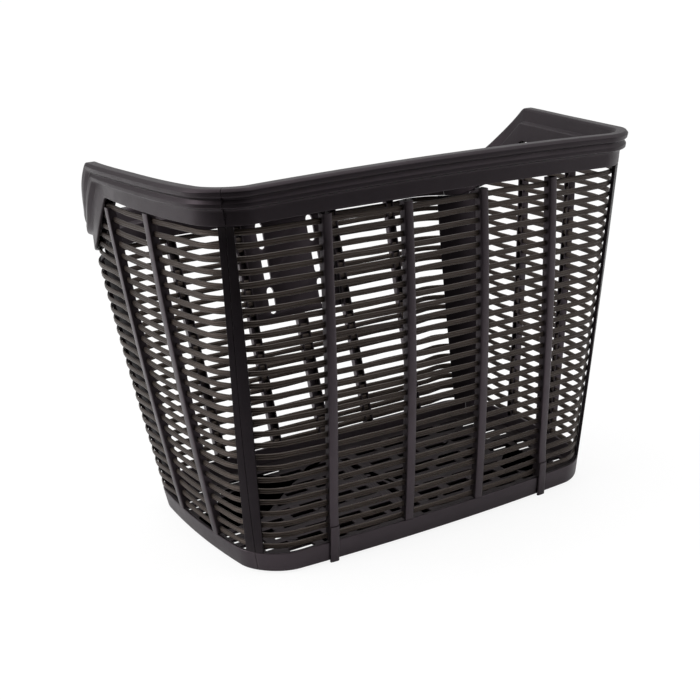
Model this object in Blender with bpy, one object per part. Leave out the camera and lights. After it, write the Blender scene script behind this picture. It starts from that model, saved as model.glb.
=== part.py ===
"""Handlebar basket for a city bicycle, moulded to look like woven rattan.

Frame: +X is the width, -Y the front wall, +Y the rear (mounting) wall, +Z up.
The left half is the one at -X.  The origin is the middle of the bounding box's
underside.  The lengths below are millimetres and are turned into metres where
the meshes are made.

The basket is a set of horizontal strands, held by upright ribs and corner posts
that lie on their outside (the two wide rear posts lie on their inside), a
stepped rim on top, a smooth band round the foot and a slotted floor.  The rear
wall is lower than the other three: the side rims run level from the front, drop
at a slant and meet the rear rim.
"""
import math
from functools import partial

import bmesh
import bpy
import numpy as np

# ---------------------------------------------------------------- general
MM = 0.001
GAP = 0.3                 # clearance between neighbouring pieces
Y_SHIFT = -26.2           # puts the origin in the middle of the bounding box
Z_SHIFT = 1.2             # the feet stand on z = 0
SHARP_ANGLE = math.radians(35)

DARK = (0.022, 0.019, 0.018)
BROWN = (0.036, 0.029, 0.025)
RIM_FINISH = dict(colour=DARK, roughness=0.42)       # rims and foot bands
RIB_FINISH = dict(colour=DARK, roughness=0.45)       # ribs, posts and plate
STRAND_FINISH = dict(colour=BROWN, roughness=0.5)
FLOOR_FINISH = dict(colour=DARK, roughness=0.5)

# ---------------------------------------------------------------- walls
WALL_TOP = 278.3          # height at which the walls' upper outline is given

# each: value at the foot, value at WALL_TOP, and what is added at mid-height
FRONT_DISTANCE = (83.5, 95.1, 0.0)       # from the middle to the wall
REAR_DISTANCE = (83.5, 163.5, 2.2)
SIDE_DISTANCE = (152.1, 176.7, 2.6)
FRONT_RADIUS = (28.8, 25.2, 4.7)         # corner radii
REAR_RADIUS = (25.7, 55.3, 0.0)
FRONT_BOW = (6.2, 0.0, 6.0)              # how far the middle of a wall bows out
SIDE_BOW = (6.7, 15.6, 0.9)

SIDE_SPLAY = 0.04         # the sides open towards the rear
SIDE_TWIST = 0.86
BOW_POWER = 6             # keeps each bow to its own wall

# the parts of the left half's outline, from the front's middle to the rear's
FRONT, FRONT_CORNER, SIDE, REAR_CORNER, REAR = (
    "front", "front corner", "side", "rear corner", "rear")

# ---------------------------------------------------------------- rim
RIM_TOP = 276.05          # top of the rim at the front corners
RIM_HEIGHT = 24.6         # rim and flat band together
FLANGE_LOW = 26.0         # lower edge of the rim's inner flange, below its top
REAR_TOP = 224.0          # top of the rim on the rear wall
RIM_RISE = 7.2            # the side rims climb a little towards the rear,
RISE_START, RISE_LENGTH, RISE_POWER = -60.0, 220.0, 1.5     # from this y, over this length
RIM_ARCH = 2.4            # the front rim is a little higher in its middle,
ARCH_HALF = 150.0         # over this half width
ARCH_END = -60.0          # and only in front of this y
DROP_FROM = 280.2
DROP_START = 54.1         # y where the side rim starts to drop
DROP_SLOPE = 0.98         # fall per length of the dropping rim
DROP_ROUND = 1.4          # rounding of the rim's upper bend at its top edge,
DROP_ROUND_RATE = 0.15    # how fast that tightens further down,
DROP_ROUND_LEAST = 1.0    # and its least value
DROP_ROUND_LOW = 11.7     # rounding of the lower bend
FLARE_BEND = 3.56         # the lip leans out at the upper bend
FLARE_DROP = -3.47        # and leans in where the rim has dropped
FLARE_START = -10.0       # y where the outward lean starts to grow
FLARE_GROWTH = DROP_START + 14.0         # length over which it grows
TURN_START, TURN_LENGTH = 6.0, 50.0      # outward to inward: past DROP_START, and its length
FLARE_FADE_START, FLARE_FADE = 128.0, 30.0   # y and length in which the inward lean ends

# outward distance from the wall's outer face, and height from the top edge
RIM_PROFILE = (
    (-4.0, 0.0), (2.2, 0.0), (4.5, -2.2), (4.1, -5.2), (2.0, -7.2), (3.8, -9.7),
    (3.7, -12.5), (0.2, -13.9), (0.0, -RIM_HEIGHT), (-2.4, -RIM_HEIGHT),
    (-2.4, -14.6), (-7.2, -14.6), (-7.2, -FLANGE_LOW), (-9.6, -FLANGE_LOW), (-9.6, -11.8),
    (-5.2, -10.6), (-5.0, -1.4),
)
# fractions of the side's length, close together where the rim drops
RIM_SIDE_FRACTIONS = (
    0.0, 0.18, 0.36, 0.5, 0.6, 0.66, 0.695, 0.71, 0.725, 0.74, 0.755, 0.77, 0.79,
    0.82, 0.88, 1.0)

# ---------------------------------------------------------------- foot band and seams
BAND_TOP = 14.6           # height of the foot band
BAND_WALL = 2.4

# fractions of a corner's arc
RIM_SEAM = 0.435          # where the front and side rims meet
BAND_SEAM = 0.648         # where the front and side foot bands meet
REAR_SEAM = 0.5
HALF_SEAM_GAP = 0.0035

# ---------------------------------------------------------------- strands
STRANDS = 27
STRAND_TOP = 246.5        # middle of the uppermost strand
STRAND_PITCH = 8.765
STRAND_HEIGHT = 4.2
STRAND_OUT, STRAND_IN = 2.8, 5.6     # depth of its two faces behind the outer face
CORNER_OUT = 2.4          # the strands step outward by this round the rear corners
STRAND_RIM_OVERLAP = 1.2  # a cut-off strand ends this far up behind the side rim
STRAND_END_LIMIT = 116.0  # rearmost y of such an end
STRAND_END_STEP = 0.5     # step of the search for it
STRAND_MIDDLES = [STRAND_TOP - STRAND_PITCH * k for k in range(STRANDS)]
REAR_STRAND_TOP = REAR_TOP - RIM_HEIGHT + 2.0    # strands above this stop at the side rims

# ---------------------------------------------------------------- mounting plate
PLATE_LOW = 116.6
PLATE_HALF = 42.2
PLATE_WALL = 2.4
PLATE_STRAND_GAP = 1.2    # between the plate and the strands that end beside it
SLOT_X = 24.8
SLOT_WIDTH = 6.6
SLOT_SPANS = ((119.8, 142.2), (146.4, 168.8), (173.6, 196.0))    # lower and upper end
SLOT_END_STEPS = 4        # segments of a slot's round end
SLOT_CUT = 6.0            # reach of the cutter on each side of the plate

# heights between which the uprights stand
ABOVE_BAND = BAND_TOP + GAP
UNDER_RIM = RIM_TOP - RIM_HEIGHT - GAP
UNDER_REAR_RIM = REAR_TOP - RIM_HEIGHT - GAP
UNDER_PLATE = PLATE_LOW - GAP

# ---------------------------------------------------------------- ribs
RIB_DEPTH = 6.4           # ribs reach in past the strands, which lie in notches
RIB_FACE = 2.4            # solid part of a rib in front of the strands; also the
                          # thickness of the front posts
CHAMFER_WIDTH, CHAMFER_DEPTH = 0.8, 0.9
LEAST_TOOTH = 0.6         # no tooth is made in a space lower than this
FRONT_RIB_X = (31.6, 94.6)
FRONT_RIB_WIDTH = 7.0
SIDE_RIBS = {"front": (-29.0, -15.5), "rear": (24.5, 48.0)}   # y at foot, at top
SIDE_RIB_WIDTH = 7.0
SIDE_RIB_CLEAR = 0.6      # further clearance under the side rim,
SIDE_RIB_REACH = 6.0      # which is looked up this far before and behind the rib
REAR_RIB_X = ((46.0, 47.0), (97.5, 110.5))                    # x at foot, at top
REAR_RIB_WIDTH = 8.0
REAR_MIDDLE_WIDTH = 10.0
FOOT_DROP = 1.2           # feet below the foot band
FOOT_PROUD = 1.5
FOOT_RING = 8.0           # height of the ring in the foot's outer face
FOOT_FADE = 26.0          # the outer face is back on the wall this far above the band
FOOT_HEIGHTS = [ABOVE_BAND, ABOVE_BAND + 10.0, ABOVE_BAND + FOOT_FADE]
FOOT_SIDE_START = ABOVE_BAND + 10.5   # the side facets meet the notches' roots from here

# ---------------------------------------------------------------- posts
# edges of the front posts on the corner's arc: the fraction at z = 0 and its
# linear and square change up to POST_EDGE_SPAN
POST_EDGE_SPAN = 251.0
POST_EDGE_FRONT = (0.540, -0.343, 0.136)
POST_EDGE_SIDE = (0.816, -0.501, 0.235)
POST_SEAM = (BAND_SEAM, RIM_SEAM - BAND_SEAM, 0.0)
FRONT_POST_STEPS = 2

REAR_POST_Y = (68.0, 108.0)          # edge on the side, low and high
REAR_POST_X = (140.5, 163.0)         # edge on the rear wall, low and high
REAR_POST_LOW, REAR_POST_SPAN = 15.0, 239.0    # heights that those are given over
REAR_POST_STEPS = 6
POST_OUT, POST_IN = 4.3, 6.7         # the wide rear posts lie inside the strands
POST_LEAN = 2.7                      # and lean in towards the rim's inner flange
POST_CLEAR = GAP + 1.2               # clearance under that flange

# ---------------------------------------------------------------- floor
FLOOR_LOW, FLOOR_TOP = 0.3, 3.0
FLOOR_INSET = BAND_WALL + GAP
FLOOR_ROWS = 13
FLOOR_ROW_PITCH = 11.6
FLOOR_MIDDLE_ROW_Y = -4.5
FLOOR_SLOT = (20.0, 5.6)             # along x, along y
FLOOR_SLOT_PITCH = 28.0
SHORT_SLOT = 9.0                     # innermost slot of every other row
SLOT_MARGIN = 4.0                    # from the spine to the first slot
EDGE_INSET, EDGE_MARGIN = 4.0, 3.0   # the slots stay inside the floor's edge
LEAST_SLOT = 6.0
END_ROWS_Y = 62.0                    # rows beyond this are shortened by the corners
END_ROWS_FRACTION = 0.35             # place on the corner's arc that limits them
SPINE_HALF = 9.0
SPINE_HOLE = (7.0, 10.5)
SPINE_HOLES = 10
SPINE_FIRST_Y = -64.0
SPINE_PITCH = 14.0
FLOOR_CUT_HEIGHT = 8.0


# ------------------------------------------------------------------ curves
def bulge(t):
    return 4.0 * t * (1.0 - t)


def up_wall(values, t):
    """Value at the fraction t of the wall's height, from (foot, top, added in the middle)."""
    foot, top, middle = values
    return foot + (top - foot) * t + middle * bulge(t)


def clamp(value, low, high):
    return max(low, min(high, value))


def smooth_step(t):
    t = clamp(t, 0.0, 1.0)
    return t * t * (3.0 - 2.0 * t)


def soft_min(a, b, radius):
    """The smaller of two values, rounded where they cross."""
    if abs(a - b) >= 2 * radius:
        return min(a, b)
    overlap = 2 * radius - abs(a - b)
    return min(a, b) - overlap * overlap / (8 * radius)


def levels(low, high, steps):
    return [low + (high - low) * k / steps for k in range(steps + 1)]


# ------------------------------------------------------------------ the walls
class Plan:
    """Horizontal outline of the left half's outer face at height z, moved outward.
    A station on it is a part of the outline and a fraction from 0 to 1 along it."""

    def __init__(self, z, outward):
        t = z / WALL_TOP
        self.t = t
        self.front_y = -up_wall(FRONT_DISTANCE, t) - outward
        self.rear_y = up_wall(REAR_DISTANCE, t) + outward
        side_x = up_wall(SIDE_DISTANCE, t) + outward
        front = np.array([-(side_x + SIDE_SPLAY * self.front_y), self.front_y])
        rear = np.array([-(side_x + SIDE_SPLAY * self.rear_y), self.rear_y])
        along_side = (rear - front) / np.linalg.norm(rear - front)
        to_right = np.array([1.0, 0.0])
        self.front_arc = self.arc(front, to_right, along_side,
                                  up_wall(FRONT_RADIUS, t) + outward)
        self.rear_arc = self.arc(rear, -along_side, to_right,
                                 up_wall(REAR_RADIUS, t) + outward)
        self.corner_x = abs(front[0])
        self.middle_y = (self.front_y + self.rear_y) / 2.0
        self.half_depth = (self.rear_y - self.front_y) / 2.0

    @staticmethod
    def arc(corner, direction_1, direction_2, radius):
        """Rounds a corner: the centre, and from it the arc's first and last point."""
        angle = math.acos(clamp(float(direction_1 @ direction_2), -1.0, 1.0))
        run = radius / math.tan(angle / 2.0)
        middle = direction_1 + direction_2
        centre = corner + middle / np.linalg.norm(middle) * radius / math.sin(angle / 2.0)
        return centre, corner + direction_1 * run - centre, corner + direction_2 * run - centre

    @staticmethod
    def on_arc(arc, fraction):
        centre, first, last = arc
        sweep = math.acos(clamp(float(first @ last) / float(first @ first), -1.0, 1.0))
        return centre + (math.sin((1 - fraction) * sweep) * first
                         + math.sin(fraction * sweep) * last) / math.sin(sweep)

    def unbowed(self, part, fraction):
        if part == FRONT_CORNER:
            return self.on_arc(self.front_arc, fraction)
        if part == REAR_CORNER:
            return self.on_arc(self.rear_arc, fraction)
        if part == FRONT:
            return np.array([self.on_arc(self.front_arc, 0.0)[0] * fraction, self.front_y])
        if part == REAR:
            return np.array([self.on_arc(self.rear_arc, 1.0)[0] * (1.0 - fraction), self.rear_y])
        start = self.on_arc(self.front_arc, 1.0)
        return start + (self.on_arc(self.rear_arc, 0.0) - start) * fraction

    def at(self, part, fraction):
        x, y = self.unbowed(part, fraction)
        across = clamp(x / self.corner_x, -1.0, 1.0)
        along = clamp((y - self.middle_y) / self.half_depth, -1.0, 1.0)
        on_front = max(0.0, -along) ** BOW_POWER
        on_side = abs(across) ** BOW_POWER
        return np.array([
            x - up_wall(SIDE_BOW, self.t) * (1.0 - along * along) * on_side
            + SIDE_TWIST * bulge(self.t) * along * on_side,
            y - up_wall(FRONT_BOW, self.t) * (1.0 - across * across) * on_front])


_plans = {}
_fine_outlines = {}


def plan(z, outward=0.0):
    key = (round(z, 4), round(outward, 4))
    if key not in _plans:
        _plans[key] = Plan(z, outward)
    return _plans[key]


def wall_point(station, z, outward):
    return np.array([*plan(z, outward).at(*station), z])


def stations(part, fractions):
    return [(part, fraction) for fraction in fractions]


def even(part, steps):
    """Evenly spaced stations, without the one at the end."""
    return stations(part, [k / steps for k in range(steps)])


# steps of the dense outline, and the index at which its parts begin
FRONT_STEPS, CORNER_STEPS, SIDE_STEPS, REAR_STEPS = 14, 12, 20, 8
SIDE_INDEX = FRONT_STEPS + CORNER_STEPS
REAR_CORNER_INDEX = SIDE_INDEX + SIDE_STEPS
FINE_STATIONS = (even(FRONT, FRONT_STEPS) + even(FRONT_CORNER, CORNER_STEPS)
                 + even(SIDE, SIDE_STEPS) + even(REAR_CORNER, CORNER_STEPS)
                 + even(REAR, REAR_STEPS) + [(REAR, 1.0)])
TANGENT_STEP = 1.5        # running length to each side that gives the wall's direction


def fine_outline(z):
    """A dense outline of the left half, with its running length."""
    key = round(z, 4)
    if key not in _fine_outlines:
        outline = plan(z)
        points = np.array([outline.at(*station) for station in FINE_STATIONS])
        steps = np.linalg.norm(np.diff(points, axis=0), axis=1)
        _fine_outlines[key] = (points, np.concatenate([[0.0], np.cumsum(steps)]))
    return _fine_outlines[key]


def length_at(z, wall, value):
    """Running length where the outline reaches a distance from the middle
    plane (front and rear walls) or a y (side)."""
    points, lengths = fine_outline(z)
    if wall == FRONT:
        keep = slice(0, SIDE_INDEX)
        return float(np.interp(value, -points[keep, 0], lengths[keep]))
    if wall == REAR:
        keep = slice(REAR_CORNER_INDEX + 4, len(points))
        return float(np.interp(-value, points[keep, 0], lengths[keep]))
    keep = slice(FRONT_STEPS + 1, REAR_CORNER_INDEX + 11)
    return float(np.interp(value, points[keep, 1], lengths[keep]))


def corner_length(z, edge):
    """Running length at an edge on the front corner, given as for the front posts."""
    start, linear, square = edge
    t = z / POST_EDGE_SPAN
    lengths = fine_outline(z)[1][FRONT_STEPS:SIDE_INDEX + 1]
    fractions = [k / CORNER_STEPS for k in range(CORNER_STEPS + 1)]
    return float(np.interp(start + linear * t + square * t * t, fractions, lengths))


def surface(z, length, outward):
    """Point on the left half at a running length, moved outward."""
    points, lengths = fine_outline(z)

    def outline_at(where):
        return np.array([np.interp(where, lengths, points[:, axis]) for axis in (0, 1)])

    x, y = outline_at(length)
    tangent_x, tangent_y = outline_at(length + TANGENT_STEP) - outline_at(length - TANGENT_STEP)
    normal = np.array([-tangent_y, tangent_x]) / math.hypot(tangent_x, tangent_y)
    return np.array([x + normal[0] * outward, y + normal[1] * outward, z])


# ------------------------------------------------------------ the rim's course
def rim_level(y, dz, arch=0.0):
    """Height at depth y of the line that runs dz from the rim's top edge."""
    rise = RIM_RISE * clamp((y - RISE_START) / RISE_LENGTH, 0.0, 1.0) ** RISE_POWER
    level = RIM_TOP + rise + dz + arch
    slope = (DROP_FROM - DROP_SLOPE * (y - DROP_START)
             + dz * math.sqrt(1.0 + DROP_SLOPE ** 2))
    z = soft_min(level, slope, max(DROP_ROUND_LEAST, DROP_ROUND + dz * DROP_ROUND_RATE))
    return -soft_min(-z, -(REAR_TOP + dz), DROP_ROUND_LOW)


def rim_lean(y, dz):
    """How far the rim leans out at depth y; its lower edge stays on the wall."""
    turned = smooth_step((y - DROP_START - TURN_START) / TURN_LENGTH)
    grown = smooth_step((y - FLARE_START) / FLARE_GROWTH)
    faded = smooth_step((y - FLARE_FADE_START) / FLARE_FADE)
    lean = FLARE_BEND * grown * (1.0 - turned) + FLARE_DROP * turned * (1.0 - faded)
    return lean * max(0.0, 1.0 + dz / RIM_HEIGHT)


def rim_point(station, outward, dz):
    """Height and depth depend on each other, so they are found by repetition."""
    z = WALL_TOP * 0.94
    for _ in range(7):
        x, y = plan(z).at(*station)
        if station[0] == REAR:
            z = REAR_TOP + dz
        else:
            arch = 0.0
            if station[0] in (FRONT, FRONT_CORNER) and y < ARCH_END:
                arch = RIM_ARCH * (1.0 - min(1.0, abs(x) / ARCH_HALF) ** 2)
            z = rim_level(y, dz, arch)
    return wall_point(station, z, outward + rim_lean(y, dz))


# --------------------------------------------------------------- mesh building
COLLECTION = bpy.data.collections.new("handlebar_basket")
CUTTERS = bpy.data.collections.new("handlebar_basket_cutters")


def material(name, colour, roughness):
    made = bpy.data.materials.new(name)
    made.use_nodes = True
    shader = made.node_tree.nodes["Principled BSDF"]
    shader.inputs["Base Color"].default_value = (*colour, 1.0)
    shader.inputs["Roughness"].default_value = roughness
    return made


def to_metres(point):
    x, y, z = point
    return (x * MM, (y + Y_SHIFT) * MM, (z + Z_SHIFT) * MM)


def mesh_object(name, bm, collection):
    bmesh.ops.recalc_face_normals(bm, faces=bm.faces[:])
    mesh = bpy.data.meshes.new(name)
    bm.to_mesh(mesh)
    bm.free()
    obj = bpy.data.objects.new(name, mesh)
    collection.objects.link(obj)
    return obj


def add_piece(name, bm, finish):
    bmesh.ops.triangulate(bm, faces=bm.faces[:])
    obj = mesh_object(name, bm, COLLECTION)
    obj.data.materials.append(material(name, **finish))
    obj.data.shade_smooth()
    obj.data.set_sharp_from_angle(angle=SHARP_ANGLE)
    return obj


def subtract(obj, name, bm):
    """Makes a hidden cutter of the mesh and takes it away from the object."""
    cutter = mesh_object(name, bm, CUTTERS)
    cutter.hide_render = True
    cutter.display_type = "WIRE"
    modifier = obj.modifiers.new(name, "BOOLEAN")
    modifier.operation = "DIFFERENCE"
    modifier.object = cutter


def skin(bm, row_a, row_b):
    """Faces between two equal closed rows of vertices."""
    count = len(row_a)
    for i in range(count):
        j = (i + 1) % count
        bm.faces.new((row_a[i], row_a[j], row_b[j], row_b[i]))


def loft(name, rings, finish, closed=False):
    """Joins equal rings of points into one closed solid."""
    bm = bmesh.new()
    rows = [[bm.verts.new(to_metres(point)) for point in ring] for ring in rings]
    for row_a, row_b in zip(rows, rows[1:]):
        skin(bm, row_a, row_b)
    if closed:
        skin(bm, rows[-1], rows[0])
    else:
        bm.faces.new(list(reversed(rows[0])))
        bm.faces.new(rows[-1])
    return add_piece(name, bm, finish)


def mirrored(ring):
    return [np.array([-x, y, z]) for x, y, z in ring]


def across_front(half):
    """Rings of the left half and their mirror images, joined at the front's middle."""
    return [mirrored(ring) for ring in reversed(half[1:])] + half


def loft_both_sides(name, rings, finish):
    """The left piece and its mirror image; the name has a place for the side."""
    loft(name % "left", rings, finish)
    loft(name % "right", [mirrored(ring) for ring in rings], finish)


# ------------------------------------------------------------ rim and foot band
def encircle(name, ring_at, seam, side):
    """A front, two side and a rear piece that together run round the basket."""
    front = even(FRONT, 4) + stations(
        FRONT_CORNER, (0.0, seam / 3, seam * 2 / 3, seam - HALF_SEAM_GAP))
    loft(name + "_front", across_front([ring_at(s) for s in front]), RIM_FINISH)

    side = ([(FRONT_CORNER, seam + HALF_SEAM_GAP)] + side
            + [(REAR_CORNER, REAR_SEAM - HALF_SEAM_GAP)])
    loft_both_sides(name + "_%s", [ring_at(s) for s in side], RIM_FINISH)

    rear = (stations(REAR_CORNER, (REAR_SEAM + HALF_SEAM_GAP, 0.625, 0.75, 0.875, 1.0))
            + stations(REAR, (0.5, 1.0)))
    half = [ring_at(s) for s in rear]
    loft(name + "_rear", half[:-1] + [mirrored(ring) for ring in reversed(half)], RIM_FINISH)


def rim():
    def ring_at(station):
        return [rim_point(station, outward, dz) for outward, dz in RIM_PROFILE]

    encircle("rim", ring_at, RIM_SEAM,
             stations(FRONT_CORNER, (0.6, 0.8)) + stations(SIDE, RIM_SIDE_FRACTIONS)
             + stations(REAR_CORNER, (0.125, 0.25, 0.375)))


def foot_band():
    section = ((0.0, 0.0), (0.0, BAND_TOP), (-BAND_WALL, BAND_TOP), (-BAND_WALL, 0.0))

    def ring_at(station):
        return [wall_point(station, z, outward) for outward, z in section]

    encircle("foot_band", ring_at, BAND_SEAM,
             [(FRONT_CORNER, 0.82)] + even(SIDE, 4) + [(SIDE, 1.0), (REAR_CORNER, 0.25)])


# ------------------------------------------------------------------ ribs
def teeth_between(strand_zs, low, top):
    """Lower and upper height of each tooth between the notches, from the top down."""
    half_notch = STRAND_HEIGHT / 2 + GAP
    teeth = []
    edge = top
    for z in strand_zs:
        if edge - (z + half_notch) > LEAST_TOOTH:
            teeth.append((z + half_notch, edge))
        edge = z - half_notch
    if edge - low > LEAST_TOOTH:
        teeth.append((low, edge))
    return teeth


def triangle_strip(bm, outer, inner):
    """Joins two upright rows of (height, vertex) with triangles, going by height."""
    m = n = 0
    while m < len(outer) - 1 or n < len(inner) - 1:
        if n == len(inner) - 1 or (m < len(outer) - 1 and outer[m + 1][0] <= inner[n + 1][0]):
            bm.faces.new((outer[m][1], outer[m + 1][1], inner[n][1]))
            m += 1
        else:
            bm.faces.new((outer[m][1], inner[n + 1][1], inner[n][1]))
            n += 1


def rib(name, point_at, width, heights, strand_zs, mirror=False, footed=False):
    """A bar with chamfered outer edges and one notch for each strand.
    point_at gives the point at height z, sideways and outward; heights are those
    of the outer face's rings.  A footed rib goes on in front of the foot band and
    ends a little below it."""
    half = width / 2
    low, top = heights[0], heights[-1]
    teeth = teeth_between(strand_zs, low, top)
    root_heights = sorted({low, top} | {z for tooth in teeth for z in tooth})
    if footed:
        heights = [-FOOT_DROP, FOOT_RING] + heights

    bm = bmesh.new()

    def vertex(z, sideways, outward):
        x, y, _ = point_at(max(z, 0.0), sideways, outward)
        return bm.verts.new(to_metres((-x if mirror else x, y, z)))

    def vertex_pair(z, outward):
        return vertex(z, -half, outward), vertex(z, half, outward)

    # the outer face
    rows = []
    for z in heights:
        proud = 0.0
        if footed:
            proud = (FOOT_PROUD + GAP) * (1.0 - smooth_step((z - low) / FOOT_FADE))
        rows.append([vertex(z, -half, proud - CHAMFER_DEPTH),
                     vertex(z, -half + CHAMFER_WIDTH, proud),
                     vertex(z, half - CHAMFER_WIDTH, proud),
                     vertex(z, half, proud - CHAMFER_DEPTH)])
    for row_a, row_b in zip(rows, rows[1:]):
        for i in range(3):
            bm.faces.new((row_a[i], row_a[i + 1], row_b[i + 1], row_b[i]))

    # the notches' roots and the teeth
    roots = {z: vertex_pair(z, -RIB_FACE) for z in root_heights}
    for a, b in zip(root_heights, root_heights[1:]):
        if (a, b) not in teeth:
            bm.faces.new((roots[a][0], roots[b][0], roots[b][1], roots[a][1]))
    for a, b in teeth:
        tips = {z: vertex_pair(z, -RIB_DEPTH) for z in (a, b)}
        bm.faces.new((tips[a][0], tips[b][0], tips[b][1], tips[a][1]))
        for z in (a, b):
            bm.faces.new((roots[z][0], tips[z][0], tips[z][1], roots[z][1]))
        for i in (0, 1):
            bm.faces.new((roots[a][i], roots[b][i], tips[b][i], tips[a][i]))

    # the two ends
    if footed:
        toe = vertex_pair(-FOOT_DROP, GAP)
        heel = vertex_pair(low, GAP)
        bm.faces.new((toe[0], heel[0], heel[1], toe[1]))
        bm.faces.new((heel[0], roots[low][0], roots[low][1], heel[1]))
        bm.faces.new(rows[0] + [toe[1], toe[0]])
    else:
        bm.faces.new(rows[0] + [roots[low][1], roots[low][0]])
    bm.faces.new(rows[-1] + [roots[top][1], roots[top][0]])

    # the two sides, between the outer face's edge and the notches' roots
    for i, column in ((0, 0), (1, 3)):
        outer = [(z, row[column]) for z, row in zip(heights, rows)]
        inner = [(z, roots[z][i]) for z in root_heights]
        if footed:
            inner = ([(-FOOT_DROP, toe[i]), (low, heel[i])]
                     + [(max(z, FOOT_SIDE_START), root) for z, root in inner])
        triangle_strip(bm, outer, inner)
    add_piece(name, bm, RIB_FINISH)


def rib_pair(names, wall, line, width, heights, strand_zs, footed=False):
    """A rib on the left half and its mirror image.  The line it follows up the
    wall is given at the foot and at the top, as for length_at."""
    at_foot, at_top = line

    def point_at(z, sideways, outward):
        value = at_foot + (at_top - at_foot) * (z - BAND_TOP) / (WALL_TOP - RIM_HEIGHT - BAND_TOP)
        return surface(z, length_at(z, wall, value) + sideways, outward)

    for name, mirror in zip(names, (False, True)):
        rib(name, point_at, width, heights, strand_zs, mirror, footed)


def strands_below(limit):
    return [z for z in STRAND_MIDDLES if z + STRAND_HEIGHT / 2 <= limit]


def front_ribs():
    heights = levels(ABOVE_BAND, UNDER_RIM, 6)
    inner_x, outer_x = FRONT_RIB_X
    rib_pair(("rib_front_2", "rib_front_3"), FRONT, (inner_x, inner_x), FRONT_RIB_WIDTH,
             heights, STRAND_MIDDLES)
    rib_pair(("rib_front_1", "rib_front_4"), FRONT, (outer_x, outer_x), FRONT_RIB_WIDTH,
             FOOT_HEIGHTS + heights[2:], STRAND_MIDDLES, footed=True)


def side_ribs():
    heights = levels(ABOVE_BAND, UNDER_RIM, 6)
    for label, line in SIDE_RIBS.items():
        rim_edge = min(rim_level(line[1] + reach, -RIM_HEIGHT)
                       for reach in (-SIDE_RIB_REACH, 0.0, SIDE_RIB_REACH))
        top = min(UNDER_RIM, rim_edge - GAP - SIDE_RIB_CLEAR)
        rib_pair(("rib_left_" + label, "rib_right_" + label), SIDE, line, SIDE_RIB_WIDTH,
                 heights[:-1] + [top], STRAND_MIDDLES)


def rear_ribs():
    """Two pairs up to the rear rim, and a middle one that ends under the plate."""
    heights = FOOT_HEIGHTS + levels(ABOVE_BAND, UNDER_REAR_RIM, 4)[2:]
    behind = strands_below(REAR_STRAND_TOP)
    rib_pair(("rib_rear_2", "rib_rear_4"), REAR, REAR_RIB_X[0], REAR_RIB_WIDTH, heights, behind)
    rib_pair(("rib_rear_1", "rib_rear_5"), REAR, REAR_RIB_X[1], REAR_RIB_WIDTH, heights, behind,
             footed=True)

    def on_middle(z, sideways, outward):
        return np.array([sideways, plan(z).rear_y + outward, z])

    rib("rib_rear_3", on_middle, REAR_MIDDLE_WIDTH, levels(ABOVE_BAND, UNDER_PLATE, 3),
        strands_below(UNDER_PLATE))


# ------------------------------------------------------------------ posts
def strip(point_at, start, end, steps, outer, inner):
    """Ring of a post between two running lengths, with its outer and inner face."""
    lengths = levels(start, end, steps)
    return ([point_at(length, outer) for length in lengths]
            + [point_at(length, inner) for length in reversed(lengths)])


def front_posts():
    """Each post is split along the seam between the front and side pieces."""
    front_half, side_half = [], []
    for z in levels(ABOVE_BAND, UNDER_RIM, 6):
        seam = corner_length(z, POST_SEAM)
        front_half.append(strip(partial(surface, z), corner_length(z, POST_EDGE_FRONT),
                                seam - GAP / 2, FRONT_POST_STEPS, 0.0, -RIB_FACE))
        side_half.append(strip(partial(surface, z), seam + GAP / 2,
                               corner_length(z, POST_EDGE_SIDE),
                               FRONT_POST_STEPS, 0.0, -RIB_FACE))
    loft_both_sides("post_front_%s_front_half", front_half, RIB_FINISH)
    loft_both_sides("post_front_%s_side_half", side_half, RIB_FINISH)


def under_flange(z, length, outward):
    """Point just under the dropping rim's inner flange, searched from height z."""
    for _ in range(6):
        y = surface(z, length, outward)[1]
        z = rim_level(y, -FLANGE_LOW) - POST_CLEAR
    return surface(z, length, outward)


def rear_posts():
    """Wide posts whose upper end follows the rim's inner flange."""
    rings = []
    heights = levels(ABOVE_BAND, REAR_TOP - FLANGE_LOW - POST_CLEAR, 5)
    for z in heights:
        t = (z - REAR_POST_LOW) / REAR_POST_SPAN
        start, end = [length_at(z, wall, low + (high - low) * t)
                      for wall, (low, high) in ((SIDE, REAR_POST_Y), (REAR, REAR_POST_X))]
        place, lean = surface, 0.0
        if z == heights[-1]:
            place, lean = under_flange, POST_LEAN
        rings.append(strip(partial(place, z), start, end, REAR_POST_STEPS,
                           -POST_OUT - lean, -POST_IN - lean))
    loft_both_sides("post_rear_%s", rings, RIB_FINISH)


# ------------------------------------------------------------------ strands
def strand_ring(station, z, corner_step=0.0):
    if station[0] != REAR_CORNER and station != (REAR, 0.0):
        corner_step = 0.0
    half = STRAND_HEIGHT / 2
    corners = ((-STRAND_OUT, -half), (-STRAND_OUT, half), (-STRAND_IN, half), (-STRAND_IN, -half))
    return [wall_point(station, z + dz, outward + corner_step) for outward, dz in corners]


def fraction_at(part, z, value, axis):
    """Fraction at which a strand's outer face reaches an x (axis 0) or y (axis 1)."""
    low, high = 0.0, 1.0
    outline = plan(z, -STRAND_OUT)
    for _ in range(30):
        middle = (low + high) / 2
        if outline.at(part, middle)[axis] < value:
            low = middle
        else:
            high = middle
    return (low + high) / 2


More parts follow.
